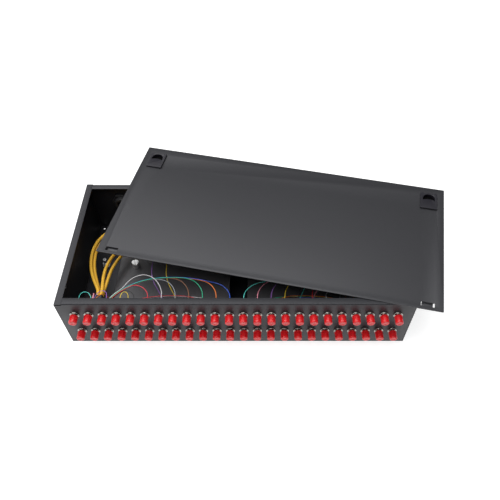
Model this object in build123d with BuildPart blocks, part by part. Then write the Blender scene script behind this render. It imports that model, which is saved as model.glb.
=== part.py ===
"""Two-unit fibre patch panel: 48 adapters in front, splice trays inside, a loose cover laid on its rim.

Frame: X to the right, Y to the back, Z up, origin at the middle of the case's underside. Millimetres.
"""

import os
from math import cos, pi, radians, sin, tan

from build123d import *

os.makedirs("parts", exist_ok=True)

# ---------------------------------------------------------------- driving sizes

# folded sheet case
case_width = 430.0
case_depth = 200.0
case_height = 88.0
sheet = 1.2
rim = 9.0
bend_radius = 1.8
corner_gap = 0.15
drain_inset = 7.0
drain_radius = 1.5

# adapters on the front
columns = 24
column_pitch = 17.0
row_gap = 37.1
row_middle = 46.75
barrel_radius = 4.0
adapter_radius = barrel_radius + 0.7
adapter_flat = barrel_radius + 0.1
panel_fit = 0.1
ring_radius = barrel_radius + 1.8
ring_thick = 1.3
barrel_front = 10.6
barrel_back = 10.0
ferrule_radius = 1.25
ring_chamfer = 0.3
key_slot = (1.8, 3.0)
front_socket = 5.5
rear_socket = 4.0
nut_flats = 2 * barrel_radius + 3.0
nut_thick = 2.5
thread_fit = 0.05

# plugs behind the adapters
plug_radius = barrel_radius + 1.0
plug_front = 4.5
plug_back = 13.0
plug_tail = 16.5
boot_end = 22.5
tail_radius = 2.75
boot_radius = 2.1
boot_tip_radius = 0.8
plug_rim = 0.25
ferrule_start = 0.2
plug_seat = 0.6

# dust caps
cap_radius = barrel_radius + 1.1
cap_tip_radius = barrel_radius + 0.8
cap_gap = 1.5
cap_length = 10.2
cap_end_wall = 1.6
cap_end_round = 1.2
caps_on_own = 12

# loose cover, turned on the case
cover_width = case_width + 1.0
cover_depth = case_depth + 3.0
cover_x = 52.9
cover_y = 33.0
cover_turn = -12.2
cover_corner = 1.0
tongue_width = 13.2
tongue_gap = 2.2
tongue_slope = 0.7
tongue_reach = 5.4
tongue_slot = (16.0, 6.0)
tongue_x = cover_width / 2 - 18.5
tongue_root = 10.3

# slide latches on the cover
latch_x = cover_width / 2 - 20.8
latch_y = cover_depth / 2 - 26.7
latch_size = (22.5, 29.0)
latch_raised = 2.4
latch_corner = 1.0
latch_edge = 0.3
window_half = 8.0
window_front = 0.6
window_back = 12.0
window_bow = 2.0
window_side = 4.2
housing_size = (18.6, 26.6)
housing_depth = 4.0
housing_fit = 0.2
housing_wall = 1.2
slider_width = 15.0
slider_thick = 1.6
slider_fit = 0.15
slider_drop = 1.4
slider_length = 19.5
bolt_width = 12.0
bolt_reach = 4.0
grip_size = (9.0, 1.6)
grip_y = 9.2
grip_height = 0.7
slider_back_gap = 0.1
bolt_root = 4.0

# splice trays
tray_inner_x = 12.0
tray_outer_x = 166.0
tray_front = -66.0
tray_back = 52.0
tray_bottom = 8.0
tray_height = 14.0
tray_wall = 1.6
tray_corner = 8.0
lid_thick = 1.5
stud_x = (143.0, 35.0)
stud_y = 5.0
stud_radius = 2.0
stud_fit = 0.05
stud_top = 31.0
spacer_radius = 4.0
thumb_radius = 4.8
thumb_height = 9.0
thumb_slot = (1.8, 1.4)
thumb_turn = -65.0
thumb_chamfer = 0.6
stud_end_gap = 0.3
stud_hole_fit = 0.3
lid_edge = 0.6
comb_size = (24.0, 49.0, 7.0)
comb_spread = 35.0
comb_y = -32.0
sleeve_radius = 1.3
sleeve_length = 60.0
sleeve_pitch = 3.8
sleeves_in_comb = 12
sleeve_fit = 0.1
sleeve_rise = 0.2

# fan-outs and tubes
fanout_x = 177.5
fanout_z = 44.0
fanout_front = -76.0
fanout_back = -60.0
fanout_side = 10.0
tube_radius = 2.1
tube_hole_fit = 0.25
bracket_width = 6.0
bracket_offset = 4.0
bracket_foot = 9.0
bracket_shelf = 13.0
fanout_corner = 2.0
door_fit = 0.25
tube_doors = (142.0, 135.0, 117.0, 99.0)
fibre_doors = (88.0, 80.0)
door_height = 7.0
fibre_radius = 0.45
lane = 1.2

# cable glands and earth point
gland_x = 170.0
gland_z = 58.0
gland_thread_radius = 10.0
gland_bore_radius = 6.0
gland_fit = 0.2
gland_flats = 24.0
dome_flats = 22.0
dome_length = 15.0
dome_gap = 0.3
dome_wall = 2.6
gland_inside = 10.0
gland_collar = 5.0
gland_stub = 8.0
gland_step = 1.2
locknut_thick = 4.0
earth_x = -192.0
earth_y = 22.0
earth_radius = 2.5
earth_height = 14.0
earth_base = (4.5, 1.0)
earth_washer = (5.0, 1.0)
earth_flats = 8.0
earth_nut_thick = 4.0

# holes for rack ears, in a rectangle on each side
ear_hole_radius = 2.25
ear_first_y = -88.0
ear_pitch_y = 26.0
ear_pitch_z = 50.0
ear_middle_z = 44.0

# ---------------------------------------------------------------- worked-out places

front_y = -case_depth / 2
back_y = case_depth / 2
side_x = case_width / 2
flange_z = case_height - sheet
ports = [(i - (columns - 1) / 2) * column_pitch for i in range(columns)]
row_heights = (row_middle + row_gap / 2, row_middle - row_gap / 2)
ring_front = ring_thick + cap_gap
tray_top = tray_bottom + tray_height
lid_top = tray_top + lid_thick
tray_middle = (tray_inner_x + tray_outer_x) / 2
tray_width = tray_outer_x - tray_inner_x
tray_length = tray_back - tray_front
tray_y = (tray_front + tray_back) / 2
pieces = {}

# the front face seen from outside, its origin midway between the rows, its normal forwards
panel = Plane(origin=(0, front_y, row_middle), x_dir=(1, 0, 0), z_dir=(0, -1, 0))
cover = Plane(
    origin=(cover_x, cover_y, case_height),
    x_dir=(cos(radians(cover_turn)), sin(radians(cover_turn)), 0),
    z_dir=(0, 0, 1),
)


def port_plane(x, z):
    """Plane on the front face at one port, its normal forwards."""
    return Plane(origin=(x, front_y, z), x_dir=(1, 0, 0), z_dir=(0, -1, 0))


def on_cover(x, y, z=0.0):
    """Plane parallel to the cover, at a point given along its own axes."""
    return Plane(origin=cover.from_local_coords(Vector(x, y, z)), x_dir=cover.x_dir, z_dir=cover.z_dir)


def across_cover(x, y, z=0.0):
    """Upright plane along the cover's depth: its x runs to the back, its y up, its normal to the right."""
    return Plane(origin=cover.from_local_coords(Vector(x, y, z)), x_dir=cover.y_dir, z_dir=cover.x_dir)


# ---------------------------------------------------------------- case

with BuildPart() as floor_pan:
    with BuildSketch():
        Rectangle(case_width, case_depth)
    extrude(amount=sheet)
    # drain and corner relief holes where the folds meet
    with BuildSketch():
        with GridLocations(case_width - 2 * drain_inset, case_depth - 2 * drain_inset, 2, 2):
            Circle(drain_radius)
    extrude(amount=sheet, mode=Mode.SUBTRACT)
pieces["floor_pan"] = floor_pan


def folded_edge(plane, length):
    """Upright wall with a rim folded inwards: the plane's x points inwards, its y up, and z runs along it."""
    with BuildPart() as wall:
        with BuildSketch(plane):
            with BuildLine():
                Polyline(
                    (0, sheet), (0, case_height), (rim, case_height), (rim, flange_z),
                    (sheet, flange_z), (sheet, sheet), close=True,
                )
            make_face()
        extrude(amount=length / 2, both=True)
        bends = wall.edges().filter_by(lambda e: e.length > length - 1)
        outer = bends.sort_by(lambda e: -abs(plane.to_local_coords(e.center()).X) + e.center().Z)[-1]
        fillet(outer, bend_radius)
    return wall.part


# inner corner of the front and rear rims stays clear of the side rims
front_run = case_width - 2 * sheet

with BuildPart() as front_panel:
    add(folded_edge(Plane(origin=(0, front_y, 0), x_dir=(0, 1, 0), z_dir=(1, 0, 0)), front_run))
    with BuildSketch(Plane.XY.offset(flange_z - bend_radius)):
        with Locations((-side_x + rim / 2 + corner_gap / 2, 0), (side_x - rim / 2 - corner_gap / 2, 0)):
            Rectangle(rim + corner_gap, case_depth + 1)
    extrude(amount=-(flange_z - bend_radius - case_height), mode=Mode.SUBTRACT)
    with BuildSketch(panel):
        with GridLocations(column_pitch, row_gap, columns, 2):
            Circle(adapter_radius + panel_fit)
            with Locations((0, -adapter_flat - panel_fit - 1)):
                Rectangle(2 * adapter_radius, 2, mode=Mode.SUBTRACT)
    extrude(amount=-sheet, mode=Mode.SUBTRACT)
pieces["front_panel"] = front_panel

with BuildPart() as rear_panel:
    add(folded_edge(Plane(origin=(0, back_y, 0), x_dir=(0, -1, 0), z_dir=(-1, 0, 0)), front_run))
    with BuildSketch(Plane.XY.offset(flange_z - bend_radius)):
        with Locations((-side_x + rim / 2 + corner_gap / 2, 0), (side_x - rim / 2 - corner_gap / 2, 0)):
            Rectangle(rim + corner_gap, case_depth + 1)
    extrude(amount=-(flange_z - bend_radius - case_height), mode=Mode.SUBTRACT)
    with BuildSketch(Plane(origin=(0, back_y, gland_z), x_dir=(1, 0, 0), z_dir=(0, -1, 0))):
        with Locations((-gland_x, 0), (gland_x, 0)):
            Circle(gland_thread_radius + gland_fit)
    extrude(amount=sheet, mode=Mode.SUBTRACT)
pieces["rear_panel"] = rear_panel

for side, name in ((-1, "side_wall_left"), (1, "side_wall_right")):
    with BuildPart() as side_wall:
        add(folded_edge(Plane(origin=(side * side_x, 0, 0), x_dir=(-side, 0, 0), z_dir=(0, side, 0)), case_depth))
        ear_face = Plane(
            origin=(side * side_x, ear_first_y + ear_pitch_y / 2, ear_middle_z),
            x_dir=(0, 1, 0),
            z_dir=(1, 0, 0),
        )
        with BuildSketch(ear_face):
            with GridLocations(ear_pitch_y, ear_pitch_z, 2, 2):
                Circle(ear_hole_radius)
        extrude(amount=-side * sheet, mode=Mode.SUBTRACT)
    pieces[name] = side_wall

# ---------------------------------------------------------------- adapters, plugs and caps


def adapter_at(plane):
    """Threaded coupling with a round front ring, a flatted neck in the panel and a stepped bore."""
    with BuildPart() as adapter:
        with BuildSketch(plane.offset(-barrel_back)):
            Circle(barrel_radius)
        extrude(amount=barrel_back + barrel_front)
        with BuildSketch(plane.offset(-sheet)):
            Circle(adapter_radius)
            with Locations((0, -adapter_flat - 1)):
                Rectangle(2 * adapter_radius, 2, mode=Mode.SUBTRACT)
        extrude(amount=sheet)
        with BuildSketch(plane):
            Circle(ring_radius)
        extrude(amount=ring_thick)
        with BuildSketch(plane.offset(-barrel_back)):
            Circle(ferrule_radius + thread_fit)
        extrude(amount=barrel_back + barrel_front, mode=Mode.SUBTRACT)
        with BuildSketch(plane.offset(barrel_front)):
            Circle(tail_radius)
            with Locations((0, tail_radius)):
                Rectangle(*key_slot)
        extrude(amount=-front_socket, mode=Mode.SUBTRACT)
        with BuildSketch(plane.offset(-barrel_back)):
            Circle(tail_radius)
        extrude(amount=rear_socket, mode=Mode.SUBTRACT)
        rims = adapter.edges().filter_by(GeomType.CIRCLE).filter_by(lambda e: abs(e.radius - ring_radius) < 0.01)
        chamfer(rims.sort_by(Axis.Y)[0], ring_chamfer)
    return adapter.part


for row, name in enumerate(("adapters_upper", "adapters_lower")):
    with BuildPart() as adapters:
        for x in ports:
            add(adapter_at(port_plane(x, row_heights[row])))
    pieces[name] = adapters

with BuildPart() as adapter_nuts:
    with BuildSketch(panel.offset(-sheet)):
        with GridLocations(column_pitch, row_gap, columns, 2):
            RegularPolygon(nut_flats / 2, 6, major_radius=False)
            Circle(barrel_radius + thread_fit, mode=Mode.SUBTRACT)
    extrude(amount=-nut_thick)
pieces["adapter_nuts"] = adapter_nuts

with BuildPart() as connectors:
    for x in ports:
        for z in row_heights:
            with BuildSketch(Plane(origin=(x, front_y, z), x_dir=(1, 0, 0), z_dir=(0, 0, 1))):
                with BuildLine():
                    Polyline(
                        (0, plug_tail), (tail_radius, plug_tail), (tail_radius, plug_back),
                        (plug_radius, plug_back), (plug_radius, plug_front),
                        (barrel_radius + 2 * thread_fit, plug_front),
                        (barrel_radius + 2 * thread_fit, barrel_back + plug_seat),
                        (tail_radius - plug_rim, barrel_back + plug_seat),
                        (tail_radius - plug_rim, barrel_back - rear_socket + plug_rim),
                        (ferrule_radius, barrel_back - rear_socket + plug_rim),
                        (ferrule_radius, ferrule_start), (0, ferrule_start), close=True,
                    )
                make_face()
            revolve(axis=Axis((x, front_y, z), (0, 1, 0)))
pieces["connectors"] = connectors

with BuildPart() as connector_boots:
    for x in ports:
        for z in row_heights:
            with BuildSketch(port_plane(x, z).offset(-plug_tail)):
                Circle(boot_radius)
            with BuildSketch(port_plane(x, z).offset(-boot_end)):
                Circle(boot_tip_radius)
            loft()
pieces["connector_boots"] = connector_boots


def cap_at(plane):
    """Soft cap over the front thread: a collar, a slight taper and a rounded end."""
    with BuildPart() as cap:
        with BuildSketch(plane.offset(ring_front)):
            Circle(cap_radius)
        with BuildSketch(plane.offset(ring_front + cap_length)):
            Circle(cap_tip_radius)
        loft()
        fillet(cap.edges().sort_by(Axis.Y)[0], cap_end_round)
        with BuildSketch(plane.offset(ring_front)):
            Circle(barrel_radius + thread_fit)
        extrude(amount=cap_length - cap_end_wall, mode=Mode.SUBTRACT)
    return cap.part


for number, x in enumerate(ports[:caps_on_own], start=1):
    with BuildPart() as dust_cap:
        add(cap_at(port_plane(x, row_heights[0])))
    pieces[f"dust_cap_{number:02d}"] = dust_cap

with BuildPart() as dust_caps_upper_right:
    for x in ports[caps_on_own:]:
        add(cap_at(port_plane(x, row_heights[0])))
pieces["dust_caps_upper_right"] = dust_caps_upper_right

with BuildPart() as dust_caps_lower:
    for x in ports:
        add(cap_at(port_plane(x, row_heights[1])))
pieces["dust_caps_lower"] = dust_caps_lower

# ---------------------------------------------------------------- cover and its latches

tongue_y = -cover_depth / 2 + tongue_root

with BuildPart() as cover_plate:
    with BuildSketch(cover):
        RectangleRounded(cover_width, cover_depth, cover_corner)
        for side in (-1, 1):
            with Locations((side * tongue_x, tongue_y - tongue_slot[1] / 2)):
                Rectangle(*tongue_slot, mode=Mode.SUBTRACT)
            with Locations((side * latch_x, latch_y)):
                Rectangle(housing_size[0] + 2 * housing_fit, housing_size[1] + 2 * housing_fit, mode=Mode.SUBTRACT)
    extrude(amount=sheet)
    # each tongue leaves the slot's rear edge, steps down steeply and runs forwards below the plate
    for side in (-1, 1):
        with BuildSketch(across_cover(side * tongue_x, tongue_y)):
            with BuildLine():
                Polyline(
                    (0, sheet), (0, 0), (-tongue_slope, -tongue_gap), (-tongue_reach, -tongue_gap),
                    (-tongue_reach, -tongue_gap - sheet), (sheet - tongue_slope, -tongue_gap - sheet),
                    (sheet, 0), (sheet, sheet), close=True,
                )
            make_face()
        extrude(amount=tongue_width / 2, both=True)
pieces["cover_plate"] = cover_plate

for side, end in ((-1, "left"), (1, "right")):
    slot_top = -slider_drop + slider_fit
    slot_bottom = -slider_drop - slider_thick - slider_fit
    with BuildPart() as latch_frame:
        with BuildSketch(on_cover(side * latch_x, latch_y, sheet)):
            RectangleRounded(*latch_size, latch_corner)
        extrude(amount=latch_raised)
        fillet(latch_frame.faces().sort_by(Axis.Z)[-1].edges(), latch_edge)
        with BuildSketch(on_cover(side * latch_x, latch_y, sheet)):
            RectangleRounded(*housing_size, latch_corner)
        extrude(amount=-sheet - housing_depth)
        # slot for the slider, open to the back
        with BuildSketch(on_cover(side * latch_x, latch_y + housing_wall, slot_bottom)):
            Rectangle(slider_width + 4 * slider_fit, housing_size[1])
        extrude(amount=slot_top - slot_bottom, mode=Mode.SUBTRACT)
        # finger window with a round back and a bowed front
        with BuildSketch(on_cover(side * latch_x, latch_y, sheet + latch_raised)):
            with BuildLine():
                ThreePointArc((-window_half, window_side), (0, window_back), (window_half, window_side))
                Line((window_half, window_side), (window_half, window_front))
                ThreePointArc((window_half, window_front), (0, window_front + window_bow), (-window_half, window_front))
                Line((-window_half, window_front), (-window_half, window_side))
            make_face()
        extrude(amount=slot_top - sheet - latch_raised, mode=Mode.SUBTRACT)
    pieces[f"latch_frame_{end}"] = latch_frame

    slab_back = housing_size[1] / 2 - slider_back_gap
    with BuildPart() as latch_slider:
        with BuildSketch(on_cover(side * latch_x, latch_y, -slider_drop)):
            with Locations((0, slab_back - slider_length / 2)):
                Rectangle(slider_width, slider_length)
            with Locations((0, slab_back + (bolt_reach + bolt_root) / 2)):
                Rectangle(bolt_width, bolt_reach + bolt_root)
        extrude(amount=-slider_thick)
        with BuildSketch(on_cover(side * latch_x, latch_y, -slider_drop)):
            with Locations((0, grip_y)):
                Rectangle(*grip_size)
        extrude(amount=grip_height)
    pieces[f"latch_slider_{end}"] = latch_slider

# ---------------------------------------------------------------- splice trays

tube_door_z = tray_bottom + door_height

for side, end in ((-1, "left"), (1, "right")):
    base = Plane.XY.offset(tray_bottom)
    with BuildPart() as splice_tray:
        with BuildSketch(base):
            with Locations((side * tray_middle, tray_y)):
                RectangleRounded(tray_width, tray_length, tray_corner)
        extrude(amount=tray_height)
        with BuildSketch(base.offset(tray_wall)):
            with Locations((side * tray_middle, tray_y)):
                RectangleRounded(tray_width - 2 * tray_wall, tray_length - 2 * tray_wall, tray_corner - tray_wall)
        extrude(amount=tray_height, mode=Mode.SUBTRACT)
        with BuildSketch(base):
            with Locations(*[(side * x, stud_y) for x in stud_x]):
                Circle(stud_radius + stud_hole_fit)
        extrude(amount=tray_wall, mode=Mode.SUBTRACT)
        with BuildSketch(Plane(origin=(0, tray_back, tube_door_z), x_dir=(1, 0, 0), z_dir=(0, -1, 0))):
            with Locations(*[(side * x, 0) for x in tube_doors]):
                Circle(tube_radius + tube_hole_fit)
            with Locations(*[(side * x, 0) for x in fibre_doors]):
                Circle(fibre_radius + door_fit)
        extrude(amount=tray_wall, mode=Mode.SUBTRACT)
    pieces[f"splice_tray_{end}"] = splice_tray

    with BuildPart() as tray_lid:
        with BuildSketch(Plane.XY.offset(tray_top)):
            with Locations((side * tray_middle, tray_y)):
                RectangleRounded(tray_width, tray_length, tray_corner)
            with Locations(*[(side * x, stud_y) for x in stud_x]):
                Circle(stud_radius + stud_hole_fit, mode=Mode.SUBTRACT)
        extrude(amount=lid_thick)
        fillet(tray_lid.faces().sort_by(Axis.Z)[-1].outer_wire().edges(), lid_edge)
    pieces[f"tray_lid_{end}"] = tray_lid

comb_centres = [side * tray_middle + way * comb_spread for side in (-1, 1) for way in (-1, 1)]
comb_bottom = tray_bottom + tray_wall
sleeve_z = comb_bottom + comb_size[2] - sleeve_radius - sleeve_rise

with BuildPart() as splice_combs:
    for x in comb_centres:
        with BuildSketch(Plane.XY.offset(comb_bottom)):
            with Locations((x, comb_y)):
                Rectangle(comb_size[0], comb_size[1])
        extrude(amount=comb_size[2])
    for x in comb_centres:
        with BuildSketch(Plane(origin=(x, comb_y, sleeve_z), x_dir=(0, 1, 0), z_dir=(1, 0, 0))):
            with GridLocations(sleeve_pitch, 1, sleeves_in_comb, 1):
                Circle(sleeve_radius + sleeve_fit)
                with Locations((0, sleeve_radius)):
                    Rectangle(2 * sleeve_radius, 2 * sleeve_radius)
        extrude(amount=comb_size[0] / 2, both=True, mode=Mode.SUBTRACT)
pieces["splice_combs"] = splice_combs

with BuildPart() as splice_sleeves:
    for x in comb_centres:
        with BuildSketch(Plane(origin=(x, comb_y, sleeve_z), x_dir=(0, 1, 0), z_dir=(1, 0, 0))):
            with GridLocations(sleeve_pitch, 1, sleeves_in_comb, 1):
                Circle(sleeve_radius)
        extrude(amount=sleeve_length / 2, both=True)
pieces["splice_sleeves"] = splice_sleeves

stud_places = [(side * x, stud_y) for side in (-1, 1) for x in stud_x]

with BuildPart() as tray_studs:
    with BuildSketch(Plane.XY.offset(sheet)):
        with Locations(*stud_places):
            Circle(spacer_radius)
    extrude(amount=tray_bottom - sheet)
    with BuildSketch(Plane.XY.offset(tray_bottom)):
        with Locations(*stud_places):
            Circle(stud_radius)
    extrude(amount=stud_top - tray_bottom)
pieces["tray_studs"] = tray_studs

thumb_names = ("left_outer", "left_inner", "right_outer", "right_inner")
for place, spot in zip(stud_places, thumb_names):
    with BuildPart() as thumb_nut:
        with BuildSketch(Plane.XY.offset(lid_top)):
            with Locations(place):
                Circle(thumb_radius)
        extrude(amount=thumb_height)
        chamfer(thumb_nut.faces().sort_by(Axis.Z)[-1].edges(), thumb_chamfer)
        with BuildSketch(Plane.XY.offset(lid_top)):
            with Locations(place):
                Circle(stud_radius + stud_fit)
        extrude(amount=stud_top - lid_top + stud_end_gap, mode=Mode.SUBTRACT)
        with BuildSketch(Plane.XY.offset(lid_top + thumb_height)):
            with Locations(place):
                Rectangle(2 * thumb_radius, thumb_slot[0], rotation=thumb_turn)
        extrude(amount=-thumb_slot[1], mode=Mode.SUBTRACT)
    pieces[f"thumb_nut_{spot}"] = thumb_nut

# ---------------------------------------------------------------- glands and earth point


def gland_plane(x, y):
    """Plane across a gland's axis, its normal to the back."""
    return Plane(origin=(x, y, gland_z), x_dir=(-1, 0, 0), z_dir=(0, 1, 0))


dome_start = gland_collar + dome_gap

with BuildPart() as gland_bodies:
    for x in (-gland_x, gland_x):
        with BuildSketch(gland_plane(x, back_y - sheet - gland_inside)):
            Circle(gland_thread_radius)
        extrude(amount=gland_inside + sheet)
        with BuildSketch(gland_plane(x, back_y)):
            RegularPolygon(gland_flats / 2, 6, major_radius=False)
        extrude(amount=gland_collar)
        with BuildSketch(gland_plane(x, back_y + gland_collar)):
            Circle(gland_thread_radius - gland_step)
        extrude(amount=gland_stub)
        with BuildSketch(gland_plane(x, back_y - sheet - gland_inside)):
            Circle(gland_bore_radius)
        extrude(amount=gland_inside + sheet + gland_collar + gland_stub, mode=Mode.SUBTRACT)
pieces["gland_bodies"] = gland_bodies

with BuildPart() as gland_locknuts:
    for x in (-gland_x, gland_x):
        with BuildSketch(gland_plane(x, back_y - sheet)):
            RegularPolygon(gland_flats / 2, 6, major_radius=False)
            Circle(gland_thread_radius + thread_fit, mode=Mode.SUBTRACT)
        extrude(amount=-locknut_thick)
pieces["gland_locknuts"] = gland_locknuts

for side, end in ((-1, "left"), (1, "right")):
    with BuildPart() as gland_dome:
        with BuildSketch(gland_plane(side * gland_x, back_y + dome_start)):
            RegularPolygon(dome_flats / 2, 6, major_radius=False)
        extrude(amount=dome_length / 2)
        with BuildSketch(gland_plane(side * gland_x, back_y + dome_start + dome_length / 2)):
            Circle(dome_flats / 2 - dome_gap)
        with BuildSketch(gland_plane(side * gland_x, back_y + dome_start + dome_length)):
            Circle(gland_bore_radius + dome_wall)
        loft()
        with BuildSketch(gland_plane(side * gland_x, back_y + dome_start)):
            Circle(gland_thread_radius - gland_step + stud_fit)
        extrude(amount=gland_stub + dome_gap, mode=Mode.SUBTRACT)
        with BuildSketch(gland_plane(side * gland_x, back_y + dome_start)):
            Circle(gland_bore_radius)
        extrude(amount=dome_length, mode=Mode.SUBTRACT)
    pieces[f"gland_dome_{end}"] = gland_dome

earth_washer_z = sheet + earth_base[1]
earth_nut_z = earth_washer_z + earth_washer[1]

with BuildPart() as earth_stud:
    with BuildSketch(Plane.XY.offset(sheet)):
        with Locations((earth_x, earth_y)):
            Circle(earth_base[0])
    extrude(amount=earth_base[1])
    with BuildSketch(Plane.XY.offset(earth_washer_z)):
        with Locations((earth_x, earth_y)):
            Circle(earth_radius)
    extrude(amount=earth_height)
pieces["earth_stud"] = earth_stud

with BuildPart() as earth_nut:
    with BuildSketch(Plane.XY.offset(earth_washer_z)):
        with Locations((earth_x, earth_y)):
            Circle(earth_washer[0])
            Circle(earth_radius + thread_fit, mode=Mode.SUBTRACT)
    extrude(amount=earth_washer[1])
    with BuildSketch(Plane.XY.offset(earth_nut_z)):
        with Locations((earth_x, earth_y)):
            RegularPolygon(earth_flats / 2, 6, major_radius=False)
            Circle(earth_radius + thread_fit, mode=Mode.SUBTRACT)
    extrude(amount=earth_nut_thick)
pieces["earth_nut"] = earth_nut

# ---------------------------------------------------------------- fan-outs, tubes and pigtails

with BuildPart() as fanout_blocks:
    for side in (-1, 1):
        with BuildSketch(Plane(origin=(side * fanout_x, fanout_front, fanout_z), x_dir=(1, 0, 0), z_dir=(0, -1, 0))):
            RectangleRounded(fanout_side, fanout_side, fanout_corner)
        extrude(amount=fanout_front - fanout_back)
pieces["fanout_blocks"] = fanout_blocks

with BuildPart() as fanout_brackets:
    for side in (-1, 1):
        # foot on the floor, upright, and shelf under the block
        foot_plane = Plane(origin=(side * (fanout_x - bracket_offset), 0, 0), x_dir=(0, 1, 0), z_dir=(1, 0, 0))
        with BuildSketch(foot_plane):
            with BuildLine():
                shelf = fanout_z - fanout_side / 2
                Polyline(
                    (fanout_back + bracket_foot, sheet), (fanout_back + bracket_foot, 2 * sheet),
                    (fanout_back - sheet, 2 * sheet), (fanout_back - sheet, shelf),
                    (fanout_back - bracket_shelf, shelf), (fanout_back - bracket_shelf, shelf - sheet),
                    (fanout_back - 2 * sheet, shelf - sheet), (fanout_back - 2 * sheet, sheet), close=True,
                )
            make_face()
        extrude(amount=bracket_width / 2, both=True)
pieces["fanout_brackets"] = fanout_brackets


def route_radii(points):
    """Radius of the arc at each inner point: 0.45 of its shorter run over the tangent of half its turn."""
    radii = []
    for before, here, after in zip(points, points[1:], points[2:]):
        come = Vector(here) - Vector(before)
        go = Vector(after) - Vector(here)
        radii.append(0.45 * min(come.length, go.length) / tan(radians(come.get_angle(go)) / 2))
    return radii


def strand(points, radius):
    """Round strand along straight runs joined by tangent arcs."""
    radii = route_radii(points)
    with BuildPart() as tube:
        with BuildLine() as path:
            FilletPolyline(*points, radius=radii)
        way = Vector(points[1]) - Vector(points[0])
        with BuildSketch(Plane(origin=points[0], z_dir=way)):
            Circle(radius)
        sweep(path=path.wires()[0])
    length = path.wires()[0].length
    print(f"  length {length:.1f}, tightest radius {min(radii):.1f}, "
          f"volume over section x length {tube.part.volume / (pi * radius**2 * length):.4f}")
    return tube.part


# the four tubes of the left fan-out, from its rear face to their doors in the tray's rear wall
tube_end_y = tray_back - tray_wall - 3.0
tube_routes = [
    [(-179.7, fanout_back, 46.2), (-179.7, -53, 46.2), (-184.6, -43.5, 46.7), (-190.6, -32, 46.8),
     (-196, -18, 46.4), (-199.4, -2, 46), (-200.3, 14, 45.4), (-198.2, 30, 44), (-192.3, 45, 41.5),
     (-183, 58.5, 38), (-171.5, 70.5, 32.5), (-158.5, 78.5, 25.8), (-145.2, 79.2, 19.4), (-136.4, 71.5, 16),
     (-135, 59.5, tube_door_z), (-135, tube_end_y, tube_door_z)],
    [(-179.7, fanout_back, 41.8), (-179.7, -53, 41.8), (-183.2, -42, 42), (-188, -30.5, 42), (-192.8, -17, 41.8),
     (-196, -1.5, 41.6), (-197.2, 13.5, 41), (-195.6, 28.5, 39.6), (-190.4, 42.5, 37), (-182, 55, 33),
     (-171, 65.5, 27.8), (-158.8, 71.5, 22.2), (-148.5, 70.5, 17.8), (-142.9, 64.5, 15.5),
     (-142, 56.5, tube_door_z), (-142, tube_end_y, tube_door_z)],
    [(-175.3, fanout_back, 46.2), (-175.3, -52, 46.2), (-176.6, -40, 46.7), (-177.5, -27, 46.6), (-176.6, -13, 46),
     (-173, 1.5, 45), (-167.3, 15.5, 43.4), (-160.5, 29.5, 41.2), (-153.4, 44, 38.4), (-146, 58.5, 34.6),
     (-137.5, 71.5, 29.6), (-127.5, 77.3, 23.2), (-119.3, 71.5, 17.4), (-117, 60.5, tube_door_z),
     (-117, tube_end_y, tube_door_z)],
    [(-175.3, fanout_back, 41.8), (-175.3, -53, 41.8), (-173.2, -42.5, 42.2), (-172.2, -31, 42.2),
     (-170.8, -18.5, 42), (-167.3, -5, 41.6), (-161.6, 8.5, 40.8), (-154, 21.5, 39.6), (-145, 35, 37.8),
     (-135, 48.5, 35.2), (-124, 61.5, 30.6), (-112.5, 69.5, 24), (-102, 66.5, 17.5), (-99, 57, tube_door_z),
     (-99, tube_end_y, tube_door_z)],
]

print("tubes")
with BuildPart() as tubes_left:
    for points in tube_routes:
        add(strand(points, tube_radius))
pieces["tubes_left"] = tubes_left

# middle line of each row's bundle, from the inner ports round to the front face of the fan-out;
# the lower one runs close behind the lower plugs
bundle_middles = (
    [(-24, -58.5, 65), (-36, -53.5, 64.6), (-50, -49.6, 64.2), (-66, -47, 63.8), (-83, -46, 63.4),
     (-100, -46.6, 63), (-117, -49.4, 62.4), (-131, -54.8, 61.6), (-143.5, -61.8, 60.2), (-153.5, -68.6, 58),
     (-161.5, -77, 54.6), (-167, -85.8, 50.6), (-172, -90.8, 47), (-176.8, -88.4, 44.9), (-177.5, -83, fanout_z),
     (-177.5, fanout_front, fanout_z)],
    [(-24, -60, 30.5), (-36, -56, 30.8), (-50, -53.4, 31), (-66, -52, 31.2), (-83, -51.4, 31.4),
     (-100, -52, 31.8), (-116, -54.2, 32.4), (-130, -58, 33.6), (-142, -63.2, 35), (-151.5, -69.4, 36.6),
     (-158.5, -76.6, 38.4), (-163.5, -84.2, 40), (-167.8, -89.6, 41.4), (-172.6, -91, 42.8), (-176.8, -88.2, 43.6),
     (-177.5, -83, fanout_z), (-177.5, fanout_front, fanout_z)],
)
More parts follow.
